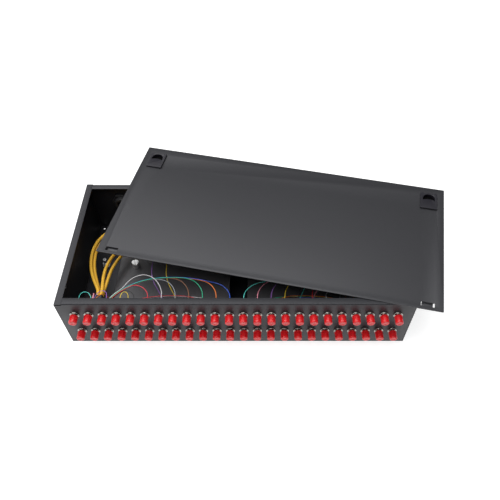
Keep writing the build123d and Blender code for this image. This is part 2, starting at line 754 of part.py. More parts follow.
# the outer three pigtails of each row come from the side and turn over in front of the fan-out
side_ways = (
    [[(-195.5, -73.2, 65.3), (-194.6, -68.6, 64.6), (-191, -65.2, 63.2), (-186.6, -65.6, 61.6),
      (-183.4, -69.4, 60), (-181.9, -74.9, 58.9)],
     [(-178.5, -72.8, 65.3), (-178.7, -68.8, 64.5), (-179, -66.4, 62.2), (-179.4, -67.4, 59.7),
      (-179.9, -71.2, 58.8), (-180.3, -76, 58.3)],
     [(-161.5, -72.6, 65.3), (-163.2, -67, 64.8), (-168.4, -63.6, 63.6), (-174, -64.6, 61.8),
      (-177.8, -69.4, 60), (-179.1, -75.2, 58.9)]],
    [[(-195.5, -70.4, 28.2), (-195, -62.8, 31), (-193.4, -58.4, 38.6), (-190.8, -58.4, 47), (-187, -62, 53),
      (-183.6, -68.4, 56.3), (-181.9, -75, 57.5)],
     [(-178.5, -71, 28.2), (-181.6, -64.4, 30.2), (-185.4, -59.6, 37), (-186.2, -60, 45.8), (-183.8, -64.2, 52.6),
      (-181.2, -71.6, 56.4)],
     [(-161.5, -70.6, 28.2), (-164, -63, 30.4), (-167.4, -58.6, 37), (-169.4, -58, 45.5), (-171.8, -61, 52.3),
      (-175.6, -67.2, 56.2), (-178.8, -74.4, 57.5)]],
)
# the fourth pigtail of each row bows the other way and joins the bundle in front of the fan-out
short_ways = (
    [(-144.5, -72.4, 65.3), (-143.2, -67.4, 64.9), (-139, -65.4, 63.6), (-135.9, -69, 61.4), (-136.2, -76.4, 58.2),
     (-141.6, -83.6, 55), (-150.5, -88.8, 52.6), (-160, -90.4, 50.8)],
    [(-144.5, -72.4, 28.2), (-143.2, -67.4, 28.8), (-139.2, -65.2, 30.4), (-136, -69, 32.6), (-136.2, -76.4, 35.2),
     (-141.6, -83.6, 37.4), (-150.5, -88.8, 38.8), (-159.5, -90.6, 39.8)],
)
# one upper pigtail bows back over the rest of its bundle, in the highest, rearmost lane
high_bow = [
    (-93.5, -71.6, 65.3), (-94.6, -64.8, 65.8), (-97.6, -57.6, 67), (-102.8, -50.6, 68.2), (-110.2, -45.2, 69),
    (-119.6, -42.8, 69), (-129.4, -45, 67.8), (-137.6, -50.6, 66),
]
# two lower pigtails climb past the upper bundle, run to the back and go down into the tray's rear wall
tray_ways = {
    6: [(-93.5, -71.6, 28.2), (-94.6, -65, 31.4), (-97.2, -59.4, 38.4), (-101.2, -54.6, 47), (-106, -49, 54.6),
        (-110, -40.6, 59.6), (-111.6, -30, 62), (-111.4, -18, 62.4), (-109.6, -5, 61.4), (-106, 9, 59.4),
        (-101.2, 23.5, 56.2), (-96.2, 38, 51.6), (-91.8, 52, 45), (-89, 63.6, 36.2), (-88.1, 70, 26.4),
        (-88, 69.4, 18.2), (-88, 63.4, 15.1), (-88, 56.4, tube_door_z), (-88, tube_end_y, tube_door_z)],
    7: [(-76.5, -71.6, 28.2), (-77.6, -65, 31.6), (-80.2, -59.2, 38.8), (-84.2, -54, 47.2), (-88.6, -47.8, 54.4),
        (-91.8, -39.2, 58.8), (-93.2, -28.6, 60.6), (-93.2, -16.6, 60.8), (-92, -3.6, 59.8), (-89.6, 10.4, 57.8),
        (-86.6, 24.8, 54.6), (-83.8, 39, 50), (-81.6, 52.6, 43.4), (-80.4, 63.4, 34.8), (-80, 69, 25.6),
        (-80, 68.2, 17.8), (-80, 62.4, 15.1), (-80, 55.8, tube_door_z), (-80, tube_end_y, tube_door_z)],
}


def turn_over(x, inside):
    """Half turn in an upright plane into the fan-out's front face; each strand inside lies one lane in."""
    step = inside * lane
    corner = step * tan(radians(22.5))
    return [
        (x, -81.0, 58.6 - step), (x, corner - 87.9, 58.6 - step), (x, step - 92.0, 54.5 - corner),
        (x, step - 92.0, 48.7 + corner), (x, corner - 87.9, 44.6 + step), (x, fanout_front, 44.6 + step),
    ]


def in_lane(points, slot, level):
    """A bundle's middle line moved to one lane: slot to the right of travel, level upwards."""
    moved = []
    for i, (x, y, z) in enumerate(points):
        before, after = points[max(i - 1, 0)], points[i + 1 if i + 1 < len(points) else i]
        way = Vector(after[0] - before[0], after[1] - before[1], 0).normalized()
        if i >= len(points) - 2:
            way = Vector(0, 1, 0)
        moved.append((x + way.Y * slot, y - way.X * slot if i < len(points) - 1 else y, z + level))
    return moved


def pigtail_route(number, row):
    """Points of one pigtail of the left half, from its boot to its place in the fan-out or the tray."""
    x, z = ports[number], row_heights[row]
    start = (x, front_y + boot_end, z)
    if number < 3:
        return [start, *side_ways[row][number], *turn_over(-fanout_x + (number - 3.5) * lane, row)]
    if row == 1 and number in tray_ways:
        return [start, *tray_ways[number]]
    up = 1 - 2 * row
    # the strand that bows over the others takes the last seat, the ones beyond it move up one
    seat = number
    if row == 0 and number > 5:
        seat = 11 if number == 6 else number - 1
    bundle = in_lane(bundle_middles[row], (seat // 3 - 1.5) * lane, up * (seat % 3 + 0.5) * lane)
    if number == 3:
        return [start, *short_ways[row], *bundle[-5:]]
    if number == 6 and row == 0:
        return [start, *high_bow, *bundle[8:]]
    join = next(i for i, point in enumerate(bundle) if point[0] < x - (20 if number > 5 else 14))
    reach, width = bundle[join][1] - start[1], x - bundle[join][0]
    rise = bundle[join][2] - z
    return [
        start, (x, start[1] + 0.25 * reach, z),
        (x - 0.15 * width, start[1] + 0.57 * reach, z + 0.2 * rise),
        (x - 0.48 * width, start[1] + 0.86 * reach, z + 0.55 * rise), *bundle[join:],
    ]


for row, name in enumerate(("pigtails_upper_left", "pigtails_lower_left")):
    print(name)
    with BuildPart() as pigtails:
        for number in range(columns // 2):
            add(strand(pigtail_route(number, row), fibre_radius))
    pieces[name] = pigtails

for name in ("tubes", "pigtails_upper", "pigtails_lower"):
    with BuildPart() as other_side:
        add(mirror(pieces[f"{name}_left"].part, about=Plane.YZ))
    pieces[f"{name}_right"] = other_side

# ---------------------------------------------------------------- label and write

for name, piece in pieces.items():
    piece.part.label = name
    export_step(piece.part, f"parts/{name}.step")
print(len(pieces), "nodes")
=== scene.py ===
"""Looks of a fibre patch panel: black folded sheet case, loose cover, red caps, loose coloured pigtails.

Everything is in metres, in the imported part's own frame: X right, Y to the back, Z up.
"""

import logging
import math
from collections.abc import Callable, Iterable, Sequence
from dataclasses import dataclass, field
from enum import Enum

import bmesh
import bpy
from mathutils import Matrix, Vector


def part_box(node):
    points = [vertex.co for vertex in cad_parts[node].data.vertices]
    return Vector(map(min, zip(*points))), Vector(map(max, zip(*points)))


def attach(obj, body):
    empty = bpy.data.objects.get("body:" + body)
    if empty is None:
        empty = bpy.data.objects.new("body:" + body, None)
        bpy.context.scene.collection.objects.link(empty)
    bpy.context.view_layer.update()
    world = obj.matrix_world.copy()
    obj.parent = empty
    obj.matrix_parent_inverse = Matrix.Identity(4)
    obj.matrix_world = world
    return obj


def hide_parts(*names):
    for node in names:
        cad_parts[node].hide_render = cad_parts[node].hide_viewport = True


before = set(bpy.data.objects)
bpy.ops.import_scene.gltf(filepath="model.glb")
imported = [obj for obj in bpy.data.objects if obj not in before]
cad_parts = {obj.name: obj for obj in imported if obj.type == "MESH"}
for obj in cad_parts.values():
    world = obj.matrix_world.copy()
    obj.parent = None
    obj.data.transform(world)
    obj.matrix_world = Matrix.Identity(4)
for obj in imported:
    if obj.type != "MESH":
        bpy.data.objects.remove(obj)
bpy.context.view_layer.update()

log = logging.getLogger("patch_panel")

Point = tuple[float, float, float]
Colour = tuple[float, float, float]

# ------------------------------------------------------------------ cord routes, left half of the case

TUBE_ROUTES: tuple[tuple[Point, ...], ...] = (
    (
        (-0.1797, -0.06, 0.0462), (-0.1797, -0.053, 0.0462), (-0.1846, -0.0435, 0.0467),
        (-0.1906, -0.032, 0.0468), (-0.196, -0.018, 0.0464), (-0.1994, -0.002, 0.046),
        (-0.2003, 0.014, 0.0454), (-0.1982, 0.03, 0.044), (-0.1923, 0.045, 0.0415),
        (-0.183, 0.0585, 0.038), (-0.1715, 0.0705, 0.0325), (-0.1585, 0.0785, 0.0258),
        (-0.1452, 0.0792, 0.0194), (-0.1364, 0.0715, 0.016), (-0.135, 0.0595, 0.015),
        (-0.135, 0.0474, 0.015),
    ),
    (
        (-0.1797, -0.06, 0.0418), (-0.1797, -0.053, 0.0418), (-0.1832, -0.042, 0.042),
        (-0.188, -0.0305, 0.042), (-0.1928, -0.017, 0.0418), (-0.196, -0.0015, 0.0416),
        (-0.1972, 0.0135, 0.041), (-0.1956, 0.0285, 0.0396), (-0.1904, 0.0425, 0.037),
        (-0.182, 0.055, 0.033), (-0.171, 0.0655, 0.0278), (-0.1588, 0.0715, 0.0222),
        (-0.1485, 0.0705, 0.0178), (-0.1429, 0.0645, 0.0155), (-0.142, 0.0565, 0.015),
        (-0.142, 0.0474, 0.015),
    ),
    (
        (-0.1753, -0.06, 0.0462), (-0.1753, -0.052, 0.0462), (-0.1766, -0.04, 0.0467),
        (-0.1775, -0.027, 0.0466), (-0.1766, -0.013, 0.046), (-0.173, 0.0015, 0.045),
        (-0.1673, 0.0155, 0.0434), (-0.1605, 0.0295, 0.0412), (-0.1534, 0.044, 0.0384),
        (-0.146, 0.0585, 0.0346), (-0.1375, 0.0715, 0.0296), (-0.1275, 0.0773, 0.0232),
        (-0.1193, 0.0715, 0.0174), (-0.117, 0.0605, 0.015), (-0.117, 0.0474, 0.015),
    ),
    (
        (-0.1753, -0.06, 0.0418), (-0.1753, -0.053, 0.0418), (-0.1732, -0.0425, 0.0422),
        (-0.1722, -0.031, 0.0422), (-0.1708, -0.0185, 0.042), (-0.1673, -0.005, 0.0416),
        (-0.1616, 0.0085, 0.0408), (-0.154, 0.0215, 0.0396), (-0.145, 0.035, 0.0378),
        (-0.135, 0.0485, 0.0352), (-0.124, 0.0615, 0.0306), (-0.1125, 0.0695, 0.024),
        (-0.102, 0.0665, 0.0175), (-0.099, 0.057, 0.015), (-0.099, 0.0474, 0.015),
    ),
)
BUNDLES: tuple[tuple[Point, ...], ...] = (
    (
        (-0.024, -0.0585, 0.065), (-0.036, -0.0535, 0.0646), (-0.05, -0.0496, 0.0642),
        (-0.066, -0.047, 0.0638), (-0.083, -0.046, 0.0634), (-0.1, -0.0466, 0.063),
        (-0.117, -0.0494, 0.0624), (-0.131, -0.0548, 0.0616), (-0.1435, -0.0618, 0.0602),
        (-0.1535, -0.0686, 0.058), (-0.1615, -0.077, 0.0546), (-0.167, -0.0858, 0.0506),
        (-0.172, -0.0908, 0.047), (-0.1768, -0.0884, 0.0449), (-0.1775, -0.083, 0.044),
        (-0.1775, -0.076, 0.044),
    ),
    (
        (-0.024, -0.06, 0.0305), (-0.036, -0.056, 0.0308), (-0.05, -0.0534, 0.031),
        (-0.066, -0.052, 0.0312), (-0.083, -0.0514, 0.0314), (-0.1, -0.052, 0.0318),
        (-0.116, -0.0542, 0.0324), (-0.13, -0.058, 0.0336), (-0.142, -0.0632, 0.035),
        (-0.1515, -0.0694, 0.0366), (-0.1585, -0.0766, 0.0384), (-0.1635, -0.0842, 0.04),
        (-0.1678, -0.0896, 0.0414), (-0.1726, -0.091, 0.0428), (-0.1768, -0.0882, 0.0436),
        (-0.1775, -0.083, 0.044), (-0.1775, -0.076, 0.044),
    ),
)
SIDE_WAYS: tuple[tuple[tuple[Point, ...], ...], ...] = (
    (
        (
            (-0.1955, -0.0732, 0.0653), (-0.1946, -0.0686, 0.0646), (-0.191, -0.0652, 0.0632),
            (-0.1866, -0.0656, 0.0616), (-0.1834, -0.0694, 0.06), (-0.1819, -0.0749, 0.0589),
        ),
        (
            (-0.1785, -0.0728, 0.0653), (-0.1787, -0.0688, 0.0645), (-0.179, -0.0664, 0.0622),
            (-0.1794, -0.0674, 0.0597), (-0.1799, -0.0712, 0.0588), (-0.1803, -0.076, 0.0583),
        ),
        (
            (-0.1615, -0.0726, 0.0653), (-0.1632, -0.067, 0.0648), (-0.1684, -0.0636, 0.0636),
            (-0.174, -0.0646, 0.0618), (-0.1778, -0.0694, 0.06), (-0.1791, -0.0752, 0.0589),
        ),
    ),
    (
        (
            (-0.1955, -0.0704, 0.0282), (-0.195, -0.0628, 0.031), (-0.1934, -0.0584, 0.0386),
            (-0.1908, -0.0584, 0.047), (-0.187, -0.062, 0.053), (-0.1836, -0.0684, 0.0563),
            (-0.1819, -0.075, 0.0575),
        ),
        (
            (-0.1785, -0.071, 0.0282), (-0.1816, -0.0644, 0.0302), (-0.1854, -0.0596, 0.037),
            (-0.1862, -0.06, 0.0458), (-0.1838, -0.0642, 0.0526), (-0.1812, -0.0716, 0.0564),
        ),
        (
            (-0.1615, -0.0706, 0.0282), (-0.164, -0.063, 0.0304), (-0.1674, -0.0586, 0.037),
            (-0.1694, -0.058, 0.0455), (-0.1718, -0.061, 0.0523), (-0.1756, -0.0672, 0.0562),
            (-0.1788, -0.0744, 0.0575),
        ),
    ),
)
SHORT_WAYS: tuple[tuple[Point, ...], ...] = (
    (
        (-0.1445, -0.0724, 0.0653), (-0.1432, -0.0674, 0.0649), (-0.139, -0.0654, 0.0636),
        (-0.1359, -0.069, 0.0614), (-0.1362, -0.0764, 0.0582), (-0.1416, -0.0836, 0.055),
        (-0.1505, -0.0888, 0.0526), (-0.16, -0.0904, 0.0508),
    ),
    (
        (-0.1445, -0.0724, 0.0282), (-0.1432, -0.0674, 0.0288), (-0.1392, -0.0652, 0.0304),
        (-0.136, -0.069, 0.0326), (-0.1362, -0.0764, 0.0352), (-0.1416, -0.0836, 0.0374),
        (-0.1505, -0.0888, 0.0388), (-0.1595, -0.0906, 0.0398),
    ),
)
HIGH_BOW: tuple[Point, ...] = (
    (-0.0935, -0.0716, 0.0653), (-0.0946, -0.0648, 0.0658), (-0.0976, -0.0576, 0.067),
    (-0.1028, -0.0506, 0.0682), (-0.1102, -0.0452, 0.069), (-0.1196, -0.0428, 0.069),
    (-0.1294, -0.045, 0.0678), (-0.1376, -0.0506, 0.066),
)
TRAY_WAYS: dict[int, tuple[Point, ...]] = {
    6: (
        (-0.0935, -0.0716, 0.0282), (-0.0946, -0.065, 0.0314), (-0.0972, -0.0594, 0.0384),
        (-0.1012, -0.0546, 0.047), (-0.106, -0.049, 0.0546), (-0.11, -0.0406, 0.0596),
        (-0.1116, -0.03, 0.062), (-0.1114, -0.018, 0.0624), (-0.1096, -0.005, 0.0614),
        (-0.106, 0.009, 0.0594), (-0.1012, 0.0235, 0.0562), (-0.0962, 0.038, 0.0516),
        (-0.0918, 0.052, 0.045), (-0.089, 0.0636, 0.0362), (-0.0881, 0.07, 0.0264),
        (-0.088, 0.0694, 0.0182), (-0.088, 0.0634, 0.0151), (-0.088, 0.0564, 0.015),
        (-0.088, 0.0474, 0.015),
    ),
    7: (
        (-0.0765, -0.0716, 0.0282), (-0.0776, -0.065, 0.0316), (-0.0802, -0.0592, 0.0388),
        (-0.0842, -0.054, 0.0472), (-0.0886, -0.0478, 0.0544), (-0.0918, -0.0392, 0.0588),
        (-0.0932, -0.0286, 0.0606), (-0.0932, -0.0166, 0.0608), (-0.092, -0.0036, 0.0598),
        (-0.0896, 0.0104, 0.0578), (-0.0866, 0.0248, 0.0546), (-0.0838, 0.039, 0.05),
        (-0.0816, 0.0526, 0.0434), (-0.0804, 0.0634, 0.0348), (-0.08, 0.069, 0.0256),
        (-0.08, 0.0682, 0.0178), (-0.08, 0.0624, 0.0151), (-0.08, 0.0558, 0.015),
        (-0.08, 0.0474, 0.015),
    ),
}


class Way(Enum):
    """Which half of the case a cord runs in."""

    LEFT = 1
    RIGHT = -1


class Row(Enum):
    """Row of adapters."""

    UPPER = 0
    LOWER = 1


# ------------------------------------------------------------------ shader groups and finishes


class NodeDesk:
    """Places and joins shader nodes in one node tree."""

    def __init__(self, tree: bpy.types.NodeTree) -> None:
        """Keeps the tree.

        Args:
            tree: The node tree to work in.
        """
        self.tree = tree

    def add(self, kind: str, **settings: object) -> bpy.types.Node:
        """Adds a node.

        Args:
            kind: Blender's identifier of the node type.
            **settings: Attributes to set on it.

        Returns:
            The new node.
        """
        node = self.tree.nodes.new(kind)
        for name, value in settings.items():
            setattr(node, name, value)
        return node

    def join(self, source: bpy.types.NodeSocket, target: bpy.types.NodeSocket) -> None:
        """Links an output to an input."""
        self.tree.links.new(source, target)

    def noise(self, place: bpy.types.NodeSocket, scale: float | bpy.types.NodeSocket,
              detail: float, roughness: float = 0.5) -> bpy.types.NodeSocket:
        """Adds a noise texture.

        Args:
            place: Vector output that places the noise.
            scale: A fixed scale, or a socket that gives it.
            detail: Octaves of detail.
            roughness: How strongly each octave counts.

        Returns:
            The noise's value output.
        """
        node = self.add("ShaderNodeTexNoise")
        node.inputs["Detail"].default_value = detail
        node.inputs["Roughness"].default_value = roughness
        self.join(place, node.inputs["Vector"])
        if isinstance(scale, float):
            node.inputs["Scale"].default_value = scale
        else:
            self.join(scale, node.inputs["Scale"])
        return node.outputs["Fac"]

    def ramp(self, source: bpy.types.NodeSocket, low: float, high: float,
             to_low: float = 0.0, to_high: float = 1.0) -> bpy.types.NodeSocket:
        """Maps a value's range, clamped.

        Args:
            source: The value.
            low: Value that becomes to_low.
            high: Value that becomes to_high.
            to_low: Result at low.
            to_high: Result at high.

        Returns:
            The mapped value.
        """
        node = self.add("ShaderNodeMapRange")
        for name, value in (("From Min", low), ("From Max", high), ("To Min", to_low), ("To Max", to_high)):
            node.inputs[name].default_value = value
        self.join(source, node.inputs["Value"])
        return node.outputs["Result"]

    def math(self, kind: str, a: bpy.types.NodeSocket, b: float | bpy.types.NodeSocket) -> bpy.types.NodeSocket:
        """Combines two values.

        Args:
            kind: Name of the operation.
            a: First value.
            b: Second value, fixed or from a socket.

        Returns:
            The result.
        """
        node = self.add("ShaderNodeMath", operation=kind)
        self.join(a, node.inputs[0])
        if isinstance(b, float):
            node.inputs[1].default_value = b
        else:
            self.join(b, node.inputs[1])
        return node.outputs["Value"]

    def blend(self, mask: bpy.types.NodeSocket, first: Colour, second: Colour) -> bpy.types.NodeSocket:
        """Mixes two colours by a mask.

        Args:
            mask: 0 gives the first colour, 1 the second.
            first: Linear colour.
            second: Linear colour.

        Returns:
            The mixed colour.
        """
        node = self.add("ShaderNodeMix", data_type="RGBA")
        self.join(mask, node.inputs["Factor"])
        node.inputs["A"].default_value = (*first, 1.0)
        node.inputs["B"].default_value = (*second, 1.0)
        return node.outputs["Result"]


class SharedEffect:
    """A shader node group that several finishes use."""

    name = "effect"
    inputs: tuple[tuple[str, str, float], ...] = ()
    outputs: tuple[tuple[str, str], ...] = ()

    def tree(self) -> bpy.types.NodeTree:
        """Builds the group once.

        Returns:
            The node group.
        """
        known = bpy.data.node_groups.get(self.name)
        if known is not None:
            return known
        group = bpy.data.node_groups.new(self.name, "ShaderNodeTree")
        for name, kind, value in self.inputs:
            socket = group.interface.new_socket(name, in_out="INPUT", socket_type=kind)
            if kind == "NodeSocketFloat":
                socket.default_value = value
        for name, kind in self.outputs:
            group.interface.new_socket(name, in_out="OUTPUT", socket_type=kind)
        desk = NodeDesk(group)
        self.wire(desk, desk.add("NodeGroupInput"), desk.add("NodeGroupOutput"))
        return group

    def wire(self, desk: NodeDesk, given: bpy.types.Node, result: bpy.types.Node) -> None:
        """Joins the group's inner nodes; each effect has its own."""
        raise NotImplementedError

    def place(self, desk: NodeDesk, vector: bpy.types.NodeSocket, **values: float) -> bpy.types.Node:
        """Puts the group in a material.

        Args:
            desk: The material's nodes.
            vector: Where the pattern is read.
            **values: The group's own inputs, with underscores for spaces.

        Returns:
            The group node.
        """
        node = desk.add("ShaderNodeGroup", node_tree=self.tree())
        desk.join(vector, node.inputs["Vector"])
        for name, value in values.items():
            node.inputs[name.replace("_", " ")].default_value = value
        return node


class SurfaceGrain(SharedEffect):
    """Fine orange peel or moulded grain, with broad patches of slightly different gloss."""

    name = "surface_grain"
    inputs = (("Vector", "NodeSocketVector", 0.0), ("Scale", "NodeSocketFloat", 900.0),
              ("Patch Scale", "NodeSocketFloat", 14.0))
    outputs = (("Height", "NodeSocketFloat"), ("Patches", "NodeSocketFloat"))

    def wire(self, desk: NodeDesk, given: bpy.types.Node, result: bpy.types.Node) -> None:
        """Joins two sizes of grain, and the patches."""
        place = given.outputs["Vector"]
        grain = desk.noise(place, given.outputs["Scale"], 2.0, 0.6)
        coarse = desk.noise(place, desk.math("MULTIPLY", given.outputs["Scale"], 0.3), 1.0, 0.4)
        desk.join(desk.math("ADD", desk.math("MULTIPLY", grain, 0.6), desk.math("MULTIPLY", coarse, 0.4)),
                  result.inputs["Height"])
        patches = desk.noise(place, given.outputs["Patch Scale"], 4.0, 0.6)
        desk.join(desk.ramp(patches, 0.32, 0.68), result.inputs["Patches"])


class HandlingMarks(SharedEffect):
    """Faint dust specks and rubbed streaks, as a mask."""

    name = "handling_marks"
    inputs = (("Vector", "NodeSocketVector", 0.0), ("Amount", "NodeSocketFloat", 0.5))
    outputs = (("Mask", "NodeSocketFloat"),)

    def wire(self, desk: NodeDesk, given: bpy.types.Node, result: bpy.types.Node) -> None:
        """Joins specks with long thin rubs."""
        place = given.outputs["Vector"]
        specks = desk.ramp(desk.noise(place, 700.0, 1.0), 0.70, 0.78)
        stretch = desk.add("ShaderNodeMapping")
        stretch.inputs["Scale"].default_value = (9.0, 160.0, 60.0)
        stretch.inputs["Rotation"].default_value = (0.0, 0.0, 0.3)
        desk.join(place, stretch.inputs["Vector"])
        rubs = desk.ramp(desk.noise(stretch.outputs["Vector"], 1.0, 3.0, 0.7), 0.62, 0.80)
        both = desk.math("MAXIMUM", specks, desk.math("MULTIPLY", rubs, 0.6))
        desk.join(desk.math("MULTIPLY", both, given.outputs["Amount"]), result.inputs["Mask"])


class TurnedLines(SharedEffect):
    """Fine rings left by turning, about an axis that runs along Y."""

    name = "turned_lines"
    inputs = (("Vector", "NodeSocketVector", 0.0), ("Pitch", "NodeSocketFloat", 9000.0))
    outputs = (("Height", "NodeSocketFloat"),)

    def wire(self, desk: NodeDesk, given: bpy.types.Node, result: bpy.types.Node) -> None:
        """Reads one-dimensional noise along Y."""
        parts = desk.add("ShaderNodeSeparateXYZ")
        desk.join(given.outputs["Vector"], parts.inputs["Vector"])
        line = desk.add("ShaderNodeTexNoise", noise_dimensions="1D")
        line.inputs["Scale"].default_value = 1.0
        line.inputs["Detail"].default_value = 2.0
        desk.join(desk.math("MULTIPLY", parts.outputs["Y"], given.outputs["Pitch"]), line.inputs["W"])
        desk.join(line.outputs["Fac"], result.inputs["Height"])


@dataclass(frozen=True)
class Finish:
    """A paint, plating or plastic, with grain, patches and faint marks."""

    name: str
    colour: Colour
    worn: Colour
    rough: tuple[float, float] = (0.35, 0.45)
    metallic: float = 0.0
    grain: float = 900.0
    depth: float = 0.00002
    strength: float = 0.35
    marks: float = 0.35
    coat: float = 0.0
    coat_rough: float = 0.2
    specular: float = 0.5
    subsurface: float = 0.0
    turned: bool = False

    def material(self) -> bpy.types.Material:
        """Builds the material once.

        Returns:
            The material.
        """
        known = bpy.data.materials.get(self.name)
        if known is not None:
            return known
        made = bpy.data.materials.new(self.name)
        made.use_nodes = True
        desk = NodeDesk(made.node_tree)
        shader = made.node_tree.nodes["Principled BSDF"]
        shader.inputs["Metallic"].default_value = self.metallic
        shader.inputs["Coat Weight"].default_value = self.coat
        shader.inputs["Coat Roughness"].default_value = self.coat_rough
        shader.inputs["Specular IOR Level"].default_value = self.specular
        shader.inputs["Subsurface Weight"].default_value = self.subsurface
        shader.inputs["Subsurface Scale"].default_value = 0.002
        place = desk.add("ShaderNodeTexCoord").outputs["Object"]
        grain = SurfaceGrain().place(desk, place, Scale=self.grain)
        marks = HandlingMarks().place(desk, place, Amount=self.marks)
        desk.join(desk.blend(marks.outputs["Mask"], self.colour, self.worn), shader.inputs["Base Color"])
        gloss = desk.ramp(grain.outputs["Patches"], 0.0, 1.0, *self.rough)
        rubbed = desk.math("MULTIPLY", marks.outputs["Mask"], 0.12)
        desk.join(desk.math("ADD", gloss, rubbed), shader.inputs["Roughness"])
        bump = desk.add("ShaderNodeBump")
        bump.inputs["Strength"].default_value = self.strength
        bump.inputs["Distance"].default_value = self.depth
        height = grain.outputs["Height"]
        if self.turned:
            rings = TurnedLines().place(desk, place)
            height = desk.math("ADD", height, rings.outputs["Height"])
        desk.join(height, bump.inputs["Height"])
        desk.join(bump.outputs["Normal"], shader.inputs["Normal"])
        return made


CASE_PAINT = Finish("case_paint", (0.004, 0.004, 0.0045), (0.011, 0.011, 0.012), (0.10, 0.16), grain=2600.0,
                    depth=0.000006, strength=0.15, marks=0.25, specular=0.27)
COVER_PAINT = Finish("cover_paint", (0.009, 0.0085, 0.0105), (0.018, 0.0175, 0.020), (0.33, 0.40), grain=2600.0,
                     depth=0.000015, strength=0.3, marks=0.35)
NICKEL = Finish("adapter_nickel", (0.40, 0.385, 0.36), (0.30, 0.29, 0.27), (0.14, 0.24), metallic=1.0,
                grain=1800.0, depth=0.00001, strength=0.2, marks=0.5, turned=True)
PLUG_NICKEL = Finish("plug_nickel", (0.70, 0.69, 0.67), (0.5, 0.5, 0.48), (0.2, 0.32), metallic=1.0,
                     grain=1800.0, depth=0.00001, strength=0.2, marks=0.5, turned=True)
ZINC = Finish("zinc_plate", (0.90, 0.90, 0.90), (0.7, 0.7, 0.68), (0.30, 0.44), metallic=1.0,
              grain=1400.0, depth=0.00001, strength=0.2, marks=0.5)
CAP_RED = Finish("cap_vinyl", (0.60, 0.008, 0.012), (0.66, 0.05, 0.05), (0.24, 0.34), grain=1500.0,
                 depth=0.00003, strength=0.3, marks=0.35, specular=0.5, subsurface=0.12)
TUBE_YELLOW = Finish("tube_yellow", (0.76, 0.40, 0.012), (0.80, 0.52, 0.10), (0.30, 0.42), grain=1500.0,
                     depth=0.00002, strength=0.3, marks=0.35, subsurface=0.1)
BOOT_BLACK = Finish("boot_black", (0.018, 0.018, 0.018), (0.04, 0.04, 0.04), (0.5, 0.65), grain=2000.0)
FANOUT_BLACK = Finish("fanout_black", (0.02, 0.02, 0.022), (0.05, 0.05, 0.05), (0.38, 0.5), grain=2400.0)
TRAY_GREY = Finish("tray_grey", (0.035, 0.034, 0.036), (0.06, 0.06, 0.06), (0.42, 0.55), grain=1800.0)
LID_GREY = Finish("lid_grey", (0.075, 0.073, 0.078), (0.11, 0.11, 0.11), (0.36, 0.48), grain=1800.0)
COMB_GREY = Finish("comb_grey", (0.30, 0.30, 0.29), (0.4, 0.4, 0.4), (0.4, 0.5), grain=1800.0)
SLEEVE_CLEAR = Finish("sleeve_clear", (0.75, 0.75, 0.74), (0.8, 0.8, 0.8), (0.12, 0.2), grain=900.0,
                      specular=0.7, coat=0.5)
NYLON_BLACK = Finish("gland_nylon", (0.016, 0.016, 0.017), (0.035, 0.035, 0.035), (0.42, 0.55), grain=2000.0)
LATCH_BLACK = Finish("latch_black", (0.010, 0.009, 0.014), (0.03, 0.03, 0.03), (0.34, 0.44), grain=3000.0,
                     depth=0.00003, strength=0.5)
# Painted shade: the sliders are near-black with almost no specular, so the latch windows read as a dark shaded
# recess.
SLIDER_PAINTED_SHADE = Finish("slider_painted_shade", (0.002, 0.002, 0.002), (0.006, 0.006, 0.006), (0.7, 0.8), grain=3000.0,
                      specular=0.05)


class Jacket(Enum):
    """The twelve pigtail colours, in the order of the ports, as linear colours."""

    AQUA = (0.10, 0.62, 0.55)
    ROSE = (0.78, 0.28, 0.36)
    VIOLET = (0.26, 0.11, 0.42)
    YELLOW = (0.70, 0.50, 0.03)
    BLACK = (0.02, 0.02, 0.022)
    RED = (0.62, 0.03, 0.05)
    WHITE = (0.56, 0.55, 0.56)
    SLATE = (0.26, 0.28, 0.31)
    BROWN = (0.22, 0.09, 0.04)
    GREEN = (0.02, 0.42, 0.22)
    ORANGE = (0.80, 0.20, 0.03)
    BLUE = (0.02, 0.08, 0.52)

    def finish(self) -> Finish:
        """Satin jacket of this colour, paler where it is rubbed."""
        pale = tuple(min(1.0, 0.75 * c + 0.08) for c in self.value)
        return Finish(f"jacket_{self.name.lower()}", self.value, pale, (0.3, 0.4), grain=3000.0,
                      depth=0.00001, strength=0.2, marks=0.25)


JACKETS = tuple(Jacket)
LOWER_SHIFT = 4

# ------------------------------------------------------------------ mesh helpers


def put_in_scene(name: str, mesh: bpy.types.Mesh | bpy.types.Curve, finish: Finish) -> bpy.types.Object:
    """Makes an object at the origin with one material.

    Args:
        name: Piece name.
        mesh: Its data, already in place.
        finish: Its finish.

    Returns:
        The object.
    """
    piece = bpy.data.objects.new(name, mesh)
    bpy.context.scene.collection.objects.link(piece)
    mesh.materials.append(finish.material())
    return piece


def settle(piece: bpy.types.Object, body: str, nodes: Iterable[str] = ()) -> bpy.types.Object:
    """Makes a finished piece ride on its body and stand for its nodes.

    Args:
        piece: The piece.
        body: Body that carries it.
        nodes: CAD nodes it replaces.

    Returns:
        The same piece.
    """
    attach(piece, body)
    for node in nodes:
        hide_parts(node)
    log.info("%s rides on %s", piece.name, body)
    return piece


def smooth_by_angle(mesh: bpy.types.Mesh, degrees: float = 32.0) -> None:
    """Shades a mesh smooth, with edges sharper than an angle kept hard."""
    mesh.polygons.foreach_set("use_smooth", [True] * len(mesh.polygons))
    mesh.set_sharp_from_angle(angle=math.radians(degrees))


